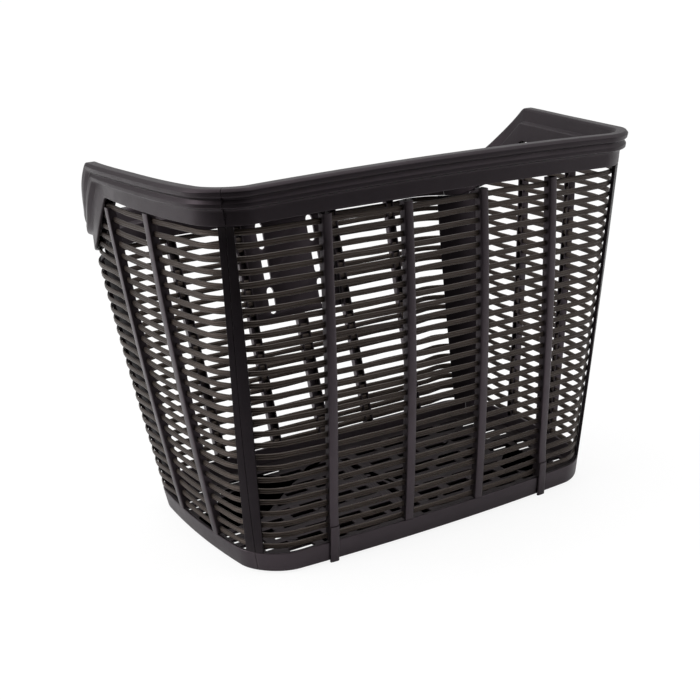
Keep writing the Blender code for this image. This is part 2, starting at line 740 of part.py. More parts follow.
def end_behind_rim(z, side, rear_corner):
    """Stations from the side's start to the strand's end behind the dropping rim."""
    y_end = DROP_START
    strand_top = z + STRAND_HEIGHT / 2
    while (rim_level(y_end, -RIM_HEIGHT + STRAND_RIM_OVERLAP) > strand_top
           and y_end < STRAND_END_LIMIT):
        y_end += STRAND_END_STEP
    if y_end < plan(z, -STRAND_OUT).at(SIDE, 1.0)[1] - 1.0:
        end = fraction_at(SIDE, z, y_end, 1)
        return [s for s in side if s[1] < end - 0.04] + [(SIDE, end)]
    end = fraction_at(REAR_CORNER, z, y_end, 1)
    return side + [s for s in rear_corner if s[1] < end - 0.06] + [(REAR_CORNER, end)]


def strands():
    front = even(FRONT, 3) + even(FRONT_CORNER, 4)
    side = even(SIDE, 6)
    rear_corner = even(REAR_CORNER, 6)
    to_rear = front + side + rear_corner + stations(REAR, (0.0, 0.12))
    for number, z in enumerate(STRAND_MIDDLES, start=1):
        name = "strand_%02d" % number
        top = z + STRAND_HEIGHT / 2
        if top > REAR_STRAND_TOP:
            course = front + end_behind_rim(z, side, rear_corner)
            loft(name, across_front([strand_ring(s, z) for s in course]), STRAND_FINISH)
        elif top > UNDER_PLATE:
            # ends beside the mounting plate
            end = fraction_at(REAR, z, -(PLATE_HALF + PLATE_STRAND_GAP), 0)
            half = [strand_ring(s, z, CORNER_OUT) for s in to_rear + [(REAR, end)]]
            loft(name, across_front(half), STRAND_FINISH)
        else:
            half = [strand_ring(s, z, CORNER_OUT) for s in to_rear + [(REAR, 1.0)]]
            loft(name, half + [mirrored(ring) for ring in reversed(half[1:-1])],
                 STRAND_FINISH, closed=True)


# ------------------------------------------------------------------ floor
def floor_slots():
    """Rows of slots on both sides of the spine, and the holes along the spine."""
    bm = bmesh.new()

    def hole(x, y, size_x, size_y):
        centre = to_metres((x, y, (FLOOR_LOW + FLOOR_TOP) / 2))
        size = (size_x, size_y, FLOOR_CUT_HEIGHT)
        for vertex in bmesh.ops.create_cube(bm, size=1.0)["verts"]:
            vertex.co = [c + v * s * MM for c, v, s in zip(centre, vertex.co, size)]

    def hole_pair(x0, x1, y):
        for sign in (-1, 1):
            hole(sign * (x0 + x1) / 2, y, x1 - x0, FLOOR_SLOT[1])

    edge = plan(FLOOR_LOW, -FLOOR_INSET - EDGE_INSET)
    for row in range(FLOOR_ROWS):
        y = FLOOR_MIDDLE_ROW_Y + (row - FLOOR_ROWS // 2) * FLOOR_ROW_PITCH
        station = (FRONT_CORNER, END_ROWS_FRACTION) if abs(y) > END_ROWS_Y else (SIDE, 0.5)
        limit = abs(edge.at(*station)[0]) - EDGE_MARGIN
        x = SPINE_HALF + SLOT_MARGIN
        if row % 2 == 0:
            hole_pair(x, x + SHORT_SLOT, y)
            x += FLOOR_SLOT_PITCH / 2
        while x < limit - LEAST_SLOT:
            hole_pair(x, min(x + FLOOR_SLOT[0], limit), y)
            x += FLOOR_SLOT_PITCH
    for k in range(SPINE_HOLES):
        hole(0.0, SPINE_FIRST_Y + k * SPINE_PITCH, *SPINE_HOLE)
    return bm


def floor():
    course = (even(FRONT, 4) + even(FRONT_CORNER, 4) + even(SIDE, 4) + even(REAR_CORNER, 4)
              + stations(REAR, (0.0, 1.0)))
    rings = []
    for z in (FLOOR_LOW, FLOOR_TOP):
        left = [wall_point(station, z, -FLOOR_INSET) for station in course]
        rings.append(left + mirrored(reversed(left[1:-1])))
    subtract(loft("floor_grid", rings, FLOOR_FINISH), "floor_slots", floor_slots())


# ------------------------------------------------------------------ mounting plate
def slot_outline(half_length):
    """Round-ended slot as (across, along) points about its middle."""
    radius = SLOT_WIDTH / 2
    outline = []
    for end, turn in ((1, 0.0), (-1, math.pi)):
        for k in range(SLOT_END_STEPS + 1):
            angle = math.pi * k / SLOT_END_STEPS + turn
            outline.append((radius * math.cos(angle),
                            radius * math.sin(angle) + end * (half_length - radius)))
    return outline


def plate():
    """Leans back with the rear wall; its slots are cut square to it."""
    z0, z1 = PLATE_LOW, UNDER_REAR_RIM
    y0, y1 = plan(z0).rear_y, plan(z1).rear_y
    rings = [[np.array([x, y - depth, z])
              for x, depth in ((-PLATE_HALF, 0.0), (PLATE_HALF, 0.0),
                               (PLATE_HALF, PLATE_WALL), (-PLATE_HALF, PLATE_WALL))]
             for z, y in ((z0, y0), (z1, y1))]
    obj = loft("mounting_plate", rings, RIB_FINISH)

    tilt = math.atan2(y1 - y0, z1 - z0)
    sine, cosine = math.sin(tilt), math.cos(tilt)
    bm = bmesh.new()
    for sign in (-1, 1):
        for low, high in SLOT_SPANS:
            middle_z = (low + high) / 2
            middle_y = y0 + (y1 - y0) * (middle_z - z0) / (z1 - z0) - PLATE_WALL / 2
            inner, outer = [], []
            for across, along in slot_outline((high - low) / 2 / cosine):
                for depth, row in ((-SLOT_CUT, inner), (SLOT_CUT, outer)):
                    row.append(bm.verts.new(to_metres((
                        sign * SLOT_X + across,
                        middle_y + along * sine + depth * cosine,
                        middle_z + along * cosine - depth * sine))))
            skin(bm, inner, outer)
            bm.faces.new(list(reversed(inner)))
            bm.faces.new(outer)
    subtract(obj, "plate_slots", bm)


def build():
    for obj in list(bpy.data.objects):
        bpy.data.objects.remove(obj, do_unlink=True)
    for collection in (COLLECTION, CUTTERS):
        bpy.context.scene.collection.children.link(collection)
    rim()
    foot_band()
    front_ribs()
    side_ribs()
    rear_ribs()
    front_posts()
    rear_posts()
    strands()
    floor()
    plate()


build()
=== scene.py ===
"""Handlebar basket: moulded rims, foot band, ribs and posts around woven-look strands.

Shapes are worked out in millimetres: x across the basket, y from the front (negative)
to the rear, z up from the foot band's lower edge. Left is negative x. The basket is
symmetric, so walls are described on the left half and mirrored. place() moves a point
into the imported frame, in metres.
"""
import math

import bmesh
import bpy
import numpy as np
from mathutils import Matrix, Vector


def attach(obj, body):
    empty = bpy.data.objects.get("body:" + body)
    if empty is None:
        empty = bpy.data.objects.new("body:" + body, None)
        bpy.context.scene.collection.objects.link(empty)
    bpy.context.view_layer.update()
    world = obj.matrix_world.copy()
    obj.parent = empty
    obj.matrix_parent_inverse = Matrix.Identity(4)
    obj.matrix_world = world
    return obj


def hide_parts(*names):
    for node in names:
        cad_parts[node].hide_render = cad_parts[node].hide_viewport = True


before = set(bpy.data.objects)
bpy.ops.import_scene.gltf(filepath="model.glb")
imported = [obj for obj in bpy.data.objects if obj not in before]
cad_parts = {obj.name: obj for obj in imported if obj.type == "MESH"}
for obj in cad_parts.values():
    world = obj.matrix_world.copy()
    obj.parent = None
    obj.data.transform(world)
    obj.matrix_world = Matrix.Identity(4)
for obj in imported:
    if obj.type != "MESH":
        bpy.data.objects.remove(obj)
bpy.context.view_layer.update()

MM = 0.001
Y_SHIFT, Z_SHIFT = -26.2, 1.2


def place(p):
    """Millimetres in the basket's axes to metres in the frame's."""
    return (p[0] * MM, (p[1] + Y_SHIFT) * MM, (p[2] + Z_SHIFT) * MM)


# --------------------------------------------------------------- driving sizes
WALL_TOP = 278.3
BAND_TOP = 14.6
PLATE_LOW = 116.6           # lower edge of the mounting plate
GAP = 0.3                   # clearance between neighbouring pieces

RIM_TOP, REAR_TOP = 276.05, 224.0
RIM_HEIGHT, FLANGE_LOW = 24.6, 26.0
RIB_LOW = BAND_TOP + GAP
RIB_TOP = RIM_TOP - RIM_HEIGHT - GAP
REAR_RIB_TOP = REAR_TOP - RIM_HEIGHT - GAP

# Seams, as shares of the way round a corner; CUT is half the gap in a seam
RIM_SEAM, BAND_SEAM, REAR_SEAM, CUT = 0.435, 0.648, 0.5, 0.0035

# Wall outline: (at the foot, at WALL_TOP, extra at mid height)
FRONT_Y = (83.5, 95.1, 0.0)
REAR_Y = (83.5, 163.5, 2.2)
HALF_WIDTH = (152.1, 176.7, 2.6)
FRONT_RADIUS = (28.8, 25.2, 4.7)
REAR_RADIUS = (25.7, 55.3, 0.0)
FRONT_BOW = (6.2, 0.0, 6.0)
SIDE_BOW = (6.7, 15.6, 0.9)
SIDE_TAPER = 0.04           # widening per unit of y
SIDE_SKEW = 0.86            # mid-height shift of the sides, outward at the front
BOW_POWER = 6               # keeps each bow to its own wall

# Steps along each part of the left half, from the front's middle to the rear's
OUTLINE_STEPS = (("front", 20), ("front corner", 16), ("side", 30),
                 ("rear corner", 18), ("rear", 12))
STATIONS = [(part, k / n) for part, n in OUTLINE_STEPS for k in range(n)] + [("rear", 1.0)]
FRONT_CORNER_START, SIDE_START, REAR_CORNER_START, REAR_START = (
    STATIONS.index((part, 0.0)) for part, _ in OUTLINE_STEPS[1:])


# ------------------------------------------------------------- number helpers
def clamp(value, low, high):
    return max(low, min(high, value))


def smooth(t):
    t = clamp(t, 0.0, 1.0)
    return t * t * (3.0 - 2.0 * t)


def steps(first, last, n):
    return [first + (last - first) * k / n for k in range(n + 1)]


def soft_min(a, b, radius):
    """The smaller value, with the crossing rounded off."""
    if abs(a - b) >= 2 * radius:
        return min(a, b)
    h = 2 * radius - abs(a - b)
    return min(a, b) - h * h / (8 * radius)


def bulge(t):
    return 4.0 * t * (1.0 - t)


def profile(t, sizes):
    foot, top, middle = sizes
    return foot + (top - foot) * t + middle * bulge(t)


# ------------------------------------------------------------ the basket walls
class Plan:
    """Outline of the outer face at height z, moved outward by offset."""

    def __init__(self, z, offset):
        t = z / WALL_TOP
        self.t = t
        self.y_front = -profile(t, FRONT_Y) - offset
        self.y_rear = profile(t, REAR_Y) + offset
        half_width = profile(t, HALF_WIDTH) + offset
        front = np.array([-(half_width + SIDE_TAPER * self.y_front), self.y_front])
        rear = np.array([-(half_width + SIDE_TAPER * self.y_rear), self.y_rear])
        side = (rear - front) / np.linalg.norm(rear - front)
        across = np.array([1.0, 0.0])
        self.front_arc = self.arc(front, across, side, profile(t, FRONT_RADIUS) + offset)
        self.rear_arc = self.arc(rear, -side, across, profile(t, REAR_RADIUS) + offset)
        self.x_corner = abs(front[0])
        self.y_mid = (self.y_front + self.y_rear) / 2.0
        self.y_half = (self.y_rear - self.y_front) / 2.0

    @staticmethod
    def arc(corner, way_1, way_2, radius):
        """Arc rounding a corner: its centre and the arms to its two ends."""
        angle = math.acos(clamp(float(way_1 @ way_2), -1.0, 1.0))
        run = radius / math.tan(angle / 2.0)
        middle = way_1 + way_2
        centre = corner + middle / np.linalg.norm(middle) * radius / math.sin(angle / 2.0)
        return centre, (corner + way_1 * run - centre), (corner + way_2 * run - centre)

    @staticmethod
    def on_arc(arc, f):
        centre, arm_1, arm_2 = arc
        turn = math.acos(clamp(float(arm_1 @ arm_2) / float(arm_1 @ arm_1), -1.0, 1.0))
        mixed = math.sin((1 - f) * turn) * arm_1 + math.sin(f * turn) * arm_2
        return centre + mixed / math.sin(turn)

    def at(self, part, f):
        """Point at share f of a part, bowed outward from the straight-sided plan."""
        if part == "front corner":
            p = self.on_arc(self.front_arc, f)
        elif part == "rear corner":
            p = self.on_arc(self.rear_arc, f)
        elif part == "front":
            p = np.array([self.on_arc(self.front_arc, 0.0)[0] * f, self.y_front])
        elif part == "rear":
            p = np.array([self.on_arc(self.rear_arc, 1.0)[0] * (1.0 - f), self.y_rear])
        else:
            start = self.on_arc(self.front_arc, 1.0)
            p = start + (self.on_arc(self.rear_arc, 0.0) - start) * f
        u = clamp(p[0] / self.x_corner, -1.0, 1.0)
        v = clamp((p[1] - self.y_mid) / self.y_half, -1.0, 1.0)
        near_front = max(0.0, -v) ** BOW_POWER
        near_side = abs(u) ** BOW_POWER
        y = p[1] - profile(self.t, FRONT_BOW) * (1.0 - u * u) * near_front
        x = (p[0] - profile(self.t, SIDE_BOW) * (1.0 - v * v) * near_side
             + SIDE_SKEW * bulge(self.t) * v * near_side)
        return np.array([x, y])


plans, outlines = {}, {}


def plan(z, offset=0.0):
    key = (round(z, 3), round(offset, 3))
    if key not in plans:
        plans[key] = Plan(z, offset)
    return plans[key]


def outline(z):
    """Dense outline of the left half at height z with its running length."""
    key = round(z, 3)
    if key not in outlines:
        level = plan(z)
        points = np.array([level.at(*station) for station in STATIONS])
        legs = np.linalg.norm(np.diff(points, axis=0), axis=1)
        outlines[key] = (points, np.concatenate([[0.0], np.cumsum(legs)]))
    return outlines[key]


def length_at(z, value, wall):
    """Running length where a wall reaches distance |x| (front, rear) or y (side)."""
    points, length = outline(z)
    if wall == "front":
        k = slice(0, SIDE_START)
        return float(np.interp(value, -points[k, 0], length[k]))
    if wall == "rear":
        k = slice(REAR_CORNER_START, len(points))
        return float(np.interp(-value, points[k, 0], length[k]))
    k = slice(FRONT_CORNER_START + 2, REAR_START - 2)
    return float(np.interp(value, points[k, 1], length[k]))


def front_corner_length(z, f):
    """Running length at share f of the front corner."""
    n = SIDE_START - FRONT_CORNER_START
    length = outline(z)[1][FRONT_CORNER_START:SIDE_START + 1]
    return float(np.interp(f, steps(0.0, 1.0, n), length))


def surface(z, s, outward):
    """Point on the left half at running length s, moved outward."""
    points, length = outline(z)
    x, y = (np.interp(s, length, points[:, i]) for i in (0, 1))
    reach = 2.0             # half the span the direction is measured over
    along_x, along_y = (np.interp(s + reach, length, points[:, i])
                        - np.interp(s - reach, length, points[:, i]) for i in (0, 1))
    if s < reach:
        along_x, along_y = -1.0, 0.0
    normal = np.array([-along_y, along_x]) / math.hypot(along_x, along_y)
    return np.array([x + normal[0] * outward, y + normal[1] * outward, z])


# -------------------------------------------------------------- the rim's line
RIM_FRONT_END = -60.0       # the rim arches ahead of this y and climbs behind it
RIM_RISE, RISE_RUN, RISE_POWER = 7.2, 220.0, 1.5
RIM_ARCH, ARCH_HALF = 2.4, 150.0
# The sides slope down to the low rear: height and y of the slope's start, then roundings
DROP_FROM, DROP_START, DROP_SLOPE = 280.2, 54.1, 0.98
DROP_ROUND, DROP_ROUND_LEAST, DROP_ROUND_GAIN, DROP_ROUND_LOW = 1.4, 1.0, 0.15, 11.7
FLARE_BEND, FLARE_DROP = 3.56, -3.47    # sideways lean at the bend and on the slope


def rim_level(y, w, arch=0.0):
    """Height at y of the line that lies w above the front and side rims' top edge."""
    climb = RIM_RISE * clamp((y - RIM_FRONT_END) / RISE_RUN, 0.0, 1.0) ** RISE_POWER
    level = RIM_TOP + climb + w + arch
    slope = (DROP_FROM - DROP_SLOPE * (y - DROP_START)
             + w * math.sqrt(1.0 + DROP_SLOPE ** 2))
    z = soft_min(level, slope, max(DROP_ROUND_LEAST, DROP_ROUND + w * DROP_ROUND_GAIN))
    return -soft_min(-z, -(REAR_TOP + w), DROP_ROUND_LOW)


def rim_lean(y, w):
    """Outward lean of the rim, fading out towards its lower edge."""
    past = smooth((y - DROP_START - 6.0) / 50.0)
    lean = (FLARE_BEND * smooth((y + 10.0) / (DROP_START + 14.0)) * (1.0 - past)
            + FLARE_DROP * past * (1.0 - smooth((y - 128.0) / 30.0)))
    return lean * max(0.0, 1.0 + w / RIM_HEIGHT)


def rim_point(part, f, outward, w):
    """Height and outline depend on each other, so they are settled by repetition."""
    z = WALL_TOP * 0.94
    for _ in range(7):
        x, y = plan(z).at(part, f)
        if part == "rear":
            z = REAR_TOP + w
        else:
            on_front = part in ("front", "front corner") and y < RIM_FRONT_END
            arch = RIM_ARCH * (1.0 - min(1.0, abs(x) / ARCH_HALF) ** 2) if on_front else 0.0
            z = rim_level(y, w, arch)
    p = plan(z, outward + rim_lean(y, w)).at(part, f)
    return np.array([p[0], p[1], z])


# --------------------------------------------------------------- mesh building
def rounded(corners, n=4):
    """Closed outline from (x, y, radius) corners, each corner a curve of n steps."""
    out = []
    for i, (x, y, radius) in enumerate(corners):
        p = np.array([x, y], float)
        back = np.array(corners[i - 1][:2], float) - p
        ahead = np.array(corners[(i + 1) % len(corners)][:2], float) - p
        back_length, ahead_length = np.linalg.norm(back), np.linalg.norm(ahead)
        back, ahead = back / back_length, ahead / ahead_length
        angle = math.acos(clamp(float(back @ ahead), -1, 1))
        if radius <= 0 or abs(math.pi - angle) < 1e-3:
            out.append(p)
            continue
        run = min(radius / math.tan(angle / 2), 0.48 * back_length, 0.48 * ahead_length)
        start, end = p + back * run, p + ahead * run
        for k in range(n + 1):
            t = k / n
            out.append((1 - t) ** 2 * start + 2 * t * (1 - t) * p + t * t * end)
    return out


def mirrored(ring):
    return [np.array([-p[0], p[1], p[2]]) for p in ring]


def skin(name, rings, attributes, closed=False):
    """Mesh through rings of points; an open one is capped.

    attributes maps a vertex attribute's name to a function of (ring, point) numbers.
    """
    bm = bmesh.new()
    layers = [(bm.verts.layers.float.new(key), value) for key, value in attributes.items()]
    rows = []
    for i, ring in enumerate(rings):
        row = []
        for j, p in enumerate(ring):
            vert = bm.verts.new(place(p))
            for layer, value in layers:
                vert[layer] = value(i, j)
            row.append(vert)
        rows.append(row)
    n = len(rows[0])
    pairs = list(zip(rows, rows[1:]))
    if closed:
        pairs.append((rows[-1], rows[0]))
    for a, b in pairs:
        for i in range(n):
            j = (i + 1) % n
            bm.faces.new((a[i], a[j], b[j], b[i]))
    if not closed:
        for row in (rows[0], rows[-1]):
            cap = bm.faces.new(row)
            bmesh.ops.triangulate(bm, faces=[cap])
    bmesh.ops.recalc_face_normals(bm, faces=bm.faces[:])
    mesh = bpy.data.meshes.new(name)
    bm.to_mesh(mesh)
    bm.free()
    mesh.update()
    return mesh


def add_object(name, mesh, material):
    obj = bpy.data.objects.new(name, mesh)
    bpy.context.scene.collection.objects.link(obj)
    mesh.materials.append(material)
    return obj


def register(obj, node, sharp_angle):
    """Shade a piece and tell the frame which node it replaces, if any."""
    obj.data.shade_smooth()
    obj.data.set_sharp_from_angle(angle=math.radians(sharp_angle))
    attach(obj, "root")
    if node:
        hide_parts(node)


def loft(name, rings, material, node=None):
    centres = [np.mean(np.array(ring), axis=0) for ring in rings]
    legs = [float(np.linalg.norm(b - a)) for a, b in zip(centres, centres[1:])]
    run = np.concatenate([[0.0], np.cumsum(legs)])
    mesh = skin(name, rings, {"along": lambda i, j: run[i] * MM})
    register(add_object(name, mesh, material), node, 38)


def loft_pair(left, right, rings, material):
    """A piece on the left and its mirror image on the right."""
    loft(left + "_visual", rings, material, left)
    loft(right + "_visual", [mirrored(r) for r in rings], material, right)


# --------------------------------------------------------------- shader helpers
class Shader:
    """Adds nodes to a tree. Inputs take either a value or a socket to link from."""

    def __init__(self, tree):
        self.tree = tree

    def set(self, name, inputs):
        """Set inputs of a node the tree already has."""
        self.fill(self.tree.nodes[name], inputs)

    def fill(self, node, inputs):
        for key, value in inputs.items():
            if isinstance(value, bpy.types.NodeSocket):
                self.tree.links.new(value, node.inputs[key])
            else:
                node.inputs[key].default_value = value

    def node(self, kind, output, inputs={}, **settings):
        node = self.tree.nodes.new("ShaderNode" + kind)
        for key, value in settings.items():
            setattr(node, key, value)
        self.fill(node, inputs)
        return node.outputs[output]

    def noise(self, vector, scale, detail, roughness=0.5):
        return self.node("TexNoise", "Fac", {"Vector": vector, "Scale": scale,
                                             "Detail": detail, "Roughness": roughness})

    def ramp(self, factor, *stops):
        node = self.tree.nodes.new("ShaderNodeValToRGB")
        for element, (position, colour) in zip(node.color_ramp.elements, stops):
            element.position = position
            element.color = (*colour, 1)
        self.fill(node, {"Fac": factor})
        return node.outputs["Color"]

    def remap(self, value, source=(0.0, 1.0), target=(0.0, 1.0), **settings):
        return self.node("MapRange", "Result", {
            "Value": value, "From Min": source[0], "From Max": source[1],
            "To Min": target[0], "To Max": target[1]}, **settings)

    def mix(self, factor, first, second):
        return self.node("Mix", "Result", {"Factor": factor, "A": first, "B": (*second, 1)},
                         data_type="RGBA")

    def math(self, operation, first, second):
        return self.node("Math", "Value", {0: first, 1: second}, operation=operation)

    def bump(self, height, strength, distance, inputs={}):
        return self.node("Bump", "Normal", {"Height": height, "Strength": strength,
                                            "Distance": distance, **inputs})


def new_material(name):
    material = bpy.data.materials.new(name)
    material.use_nodes = True
    return material, Shader(material.node_tree)


# --------------------------------------------------------------- the materials
def plastic(name, dark, light, roughness, seed, shine):
    """Moulded plastic: fine leather grain, faint mottling, handling scuffs."""
    material, shader = new_material(name)
    coords = shader.node("Mapping", "Vector", {
        "Vector": shader.node("TexCoord", "Object"),
        "Location": (seed, seed * 1.7, seed * 0.6)})
    # slow colour variation
    mottle = shader.noise(coords, scale=26.0, detail=5.0, roughness=0.6)
    colour = shader.ramp(mottle, (0.3, dark), (0.75, light))
    # paler scuffs, then worn, paler edges
    scuff = shader.noise(coords, scale=190.0, detail=6.0, roughness=0.7)
    scuffed = shader.remap(scuff, source=(0.58, 0.8), target=(0.0, 0.16))
    colour = shader.mix(scuffed, colour, (0.04, 0.036, 0.035))
    edge = shader.node("NewGeometry", "Pointiness")
    worn = shader.remap(edge, source=(0.52, 0.62), target=(0.0, 0.22))
    colour = shader.mix(worn, colour, (0.035, 0.031, 0.030))
    patches = shader.noise(coords, scale=75.0, detail=4.0)
    rough = shader.remap(patches, source=(0.3, 0.75), target=roughness)
    # fine mould grain over a slight waviness
    cells = shader.node("TexVoronoi", "Distance", {"Vector": coords, "Scale": 1500.0})
    specks = shader.noise(coords, scale=2600.0, detail=3.0)
    grain = shader.bump(shader.math("ADD", cells, specks), strength=0.35, distance=0.00012)
    normal = shader.bump(mottle, strength=0.25, distance=0.0009, inputs={"Normal": grain})
    shader.set("Principled BSDF", {
        "Base Color": colour, "Roughness": rough, "Normal": normal,
        "Specular IOR Level": shine, "Specular Tint": (1.0, 0.80, 0.92, 1)})
    return material


def strand_plastic(name, dark, light):
    """Strand plastic: long fine streaks along the strand, browner than the frame."""
    material, shader = new_material(name)
    coords = shader.node("TexCoord", "Object")
    field = {key: shader.node("Attribute", "Fac", attribute_name=key)
             for key in ("along", "tint", "across")}
    # streaks stretch along the strand; tint picks a different pattern for each strand
    axes = {axis: shader.math("MULTIPLY", field[key], scale)
            for axis, key, scale in (("X", "along", 22.0), ("Y", "across", 9.0),
                                     ("Z", "tint", 37.0))}
    streak = shader.noise(shader.node("CombineXYZ", "Vector", axes),
                          scale=1.6, detail=5.0, roughness=0.65)
    colour = shader.ramp(streak, (0.32, dark), (0.7, light))
    patches = shader.noise(coords, scale=34.0, detail=3.0)
    brightness = shader.remap(patches, source=(0.35, 0.7), target=(0.75, 1.2))
    colour = shader.node("HueSaturation", "Color", {"Value": brightness, "Color": colour})
    shader.set("Principled BSDF", {
        "Base Color": colour,
        "Roughness": shader.remap(streak, target=(0.32, 0.54)),
        "Normal": shader.bump(streak, strength=0.7, distance=0.0004),
        "Specular IOR Level": 0.46, "Specular Tint": (1.0, 0.80, 0.70, 1)})
    return material


# painted shade: a slightly darker, duller copy of the frame plastic, standing in for shade on
# the rim's band
SHADED_RIM_MAT = plastic("rim_plastic_shaded", dark=(0.0046, 0.0038, 0.0043), light=(0.0080, 0.0066, 0.0074),
                  roughness=(0.37, 0.48), seed=1.0, shine=0.36)
BAND_MAT = plastic("band_plastic", dark=(0.0050, 0.0042, 0.0046), light=(0.0088, 0.0072, 0.0080),
                   roughness=(0.33, 0.45), seed=2.0, shine=0.60)
# painted shade: a darker, duller copy of the frame plastic, standing in for the posts' shade and
# dark reflections
SHADED_POST_MAT = plastic("post_plastic_shaded", dark=(0.0036, 0.0030, 0.0034), light=(0.0060, 0.0050, 0.0056),
                   roughness=(0.36, 0.5), seed=3.0, shine=0.18)
RIB_MAT = plastic("rib_plastic", dark=(0.0048, 0.0040, 0.0044), light=(0.0088, 0.0072, 0.0078),
                  roughness=(0.32, 0.45), seed=4.0, shine=0.60)
FLOOR_MAT = plastic("floor_plastic", dark=(0.0040, 0.0033, 0.0030),
                    light=(0.0066, 0.0054, 0.0050), roughness=(0.42, 0.58), seed=7.0, shine=0.28)
STRAND_MAT = strand_plastic("strand_plastic", dark=(0.0105, 0.0080, 0.0067),
                            light=(0.0340, 0.0262, 0.0220))

# ------------------------------------------------------- the rims and foot band
# Rim section corners: outward, up from the top edge, radius
RIM_SECTION = rounded([
    (-4.2, 0.0, 1.2), (2.6, 0.0, 1.4), (4.5, -2.2, 1.2), (4.1, -5.2, 0.9), (2.0, -7.2, 0.9),
    (3.8, -9.7, 1.0), (3.7, -12.5, 0.9), (0.3, -13.9, 0.7), (0.0, -16.0, 0.0),
    (0.0, -RIM_HEIGHT, 0.7), (-2.4, -RIM_HEIGHT, 0.7), (-2.4, -14.6, 0.8), (-7.2, -14.6, 0.8),
    (-7.2, -FLANGE_LOW, 0.8), (-9.6, -FLANGE_LOW, 0.8), (-9.6, -11.8, 1.0),
    (-5.2, -10.6, 0.8), (-5.0, -2.0, 0.6)])
# Foot band section corners: outward, z, radius
BAND_SECTION = rounded([(0.0, 0.0, 1.6), (0.0, BAND_TOP, 0.9), (-2.4, BAND_TOP, 0.7),
                        (-2.4, 0.0, 0.7)])


def run_of(part, shares):
    return [(part, f) for f in shares]


def front_run(seam, corner_steps):
    return (run_of("front", steps(0, 1, 22)[:-1])
            + run_of("front corner", steps(0.0, seam - CUT, corner_steps)))


def side_run(seam, corner_steps, side_shares, rear_steps):
    return (run_of("front corner", steps(seam + CUT, 1.0, corner_steps)[:-1])
            + run_of("side", side_shares)
            + run_of("rear corner", steps(0.0, REAR_SEAM - CUT, rear_steps)[1:]))


# closer stations where the side rim bends down
RIM_SIDE_SHARES = sorted({round(f, 4) for f in steps(0.0, 0.6, 16) + steps(0.6, 0.86, 52)
                          + steps(0.86, 1.0, 8)})
REAR_RUN = (run_of("rear corner", steps(REAR_SEAM + CUT, 1.0, 10)[:-1])
            + run_of("rear", steps(0.0, 1.0, 12)))


def band_point(part, f, outward, z):
    p = plan(z, outward).at(part, f)
    return np.array([p[0], p[1], z])


def build_hoop(name, material, point, section, front, side):
    """A hoop in four pieces: front, left, right and rear."""
    def rings(stations):
        return [[point(part, f, u, w) for u, w in section] for part, f in stations]

    half = rings(front)
    whole = [mirrored(r) for r in reversed(half[1:])] + half
    loft(name + "_front_visual", whole, material, name + "_front")
    loft_pair(name + "_left", name + "_right", rings(side), material)
    half = rings(REAR_RUN)
    whole = half[:-1] + [mirrored(r) for r in reversed(half)]
    loft(name + "_rear_visual", whole, material, name + "_rear")


build_hoop("rim", SHADED_RIM_MAT, rim_point, RIM_SECTION, front=front_run(RIM_SEAM, 9),
           side=side_run(RIM_SEAM, 9, RIM_SIDE_SHARES, 14))
build_hoop("foot_band", BAND_MAT, band_point, BAND_SECTION, front=front_run(BAND_SEAM, 12),
           side=side_run(BAND_SEAM, 7, steps(0, 1, 16), 9))

# -------------------------------------------------------------------- the ribs
RIB_DEPTH, RIB_SKIN, RIB_FACE, RIB_CROWN = 6.4, 1.5, 2.2, 0.25
RIB_STEPS = 26
RIB_WIDTH, REAR_RIB_WIDTH, MIDDLE_RIB_WIDTH = 7.0, 8.0, 10.0
FOOT_PROUD, FOOT_BLEND = 1.8, 26.0      # outward step of a footed rib, and its fade height
# Heights of the strap over the foot band, down to the ground below it
STRAP_LEVELS = steps(RIB_LOW + 12.0, 2.0, 10) + [0.6, -0.4, -1.0, -1.2]
STRAP_INNER, STRAP_CHAMFER = 0.3, 0.35


def side_rib_top(y):
    """Top of a side rib that meets the rim at y, under the rim's lowest point there."""
    edge = min(rim_level(y + v, -RIM_HEIGHT) for v in (-5.0, 0.0, 5.0))
    return min(RIB_TOP, edge - GAP - 0.6) + 0.4


# Left and right names, wall, width, |x| or y at the foot and at the top, top z, footed
RIBS = (
    ("rib_front_2", "rib_front_3", "front", RIB_WIDTH, 31.6, 31.6, RIB_TOP, False),
    ("rib_front_1", "rib_front_4", "front", RIB_WIDTH, 94.6, 94.6, RIB_TOP, True),
    ("rib_left_front", "rib_right_front", "side", RIB_WIDTH, -29.0, -15.5,
     side_rib_top(-15.5), False),
    ("rib_left_rear", "rib_right_rear", "side", RIB_WIDTH, 24.5, 48.0,
     side_rib_top(48.0), False),
    ("rib_rear_2", "rib_rear_4", "rear", REAR_RIB_WIDTH, 46.0, 47.0, REAR_RIB_TOP, False),
    ("rib_rear_1", "rib_rear_5", "rear", REAR_RIB_WIDTH, 97.5, 110.5, REAR_RIB_TOP, True),
)


def channel(width, proud=0.0):
    """Section of a rib: a thin-walled channel that opens towards the inside."""
    w = width / 2
    inner = w - RIB_SKIN
    return rounded([
        (-w, proud - 0.1, 1.0), (-w * 0.45, proud + RIB_CROWN, 0),
        (w * 0.45, proud + RIB_CROWN, 0), (w, proud - 0.1, 1.0),
        (w, -RIB_DEPTH, 0.35), (inner, -RIB_DEPTH, 0.35), (inner, -RIB_FACE, 0.4),
        (-inner, -RIB_FACE, 0.4), (-inner, -RIB_DEPTH, 0.35), (-w, -RIB_DEPTH, 0.35)])


def strap_section(width, chamfer):
    w = width / 2
    edge, outer, inner = w - chamfer, FOOT_PROUD - chamfer, STRAP_INNER + chamfer
    return rounded([
        (-edge, outer, 0.8), (-w * 0.4, outer + RIB_CROWN, 0),
        (w * 0.4, outer + RIB_CROWN, 0), (edge, outer, 0.8),
        (edge, inner, 0.3), (-edge, inner, 0.3)], 3)


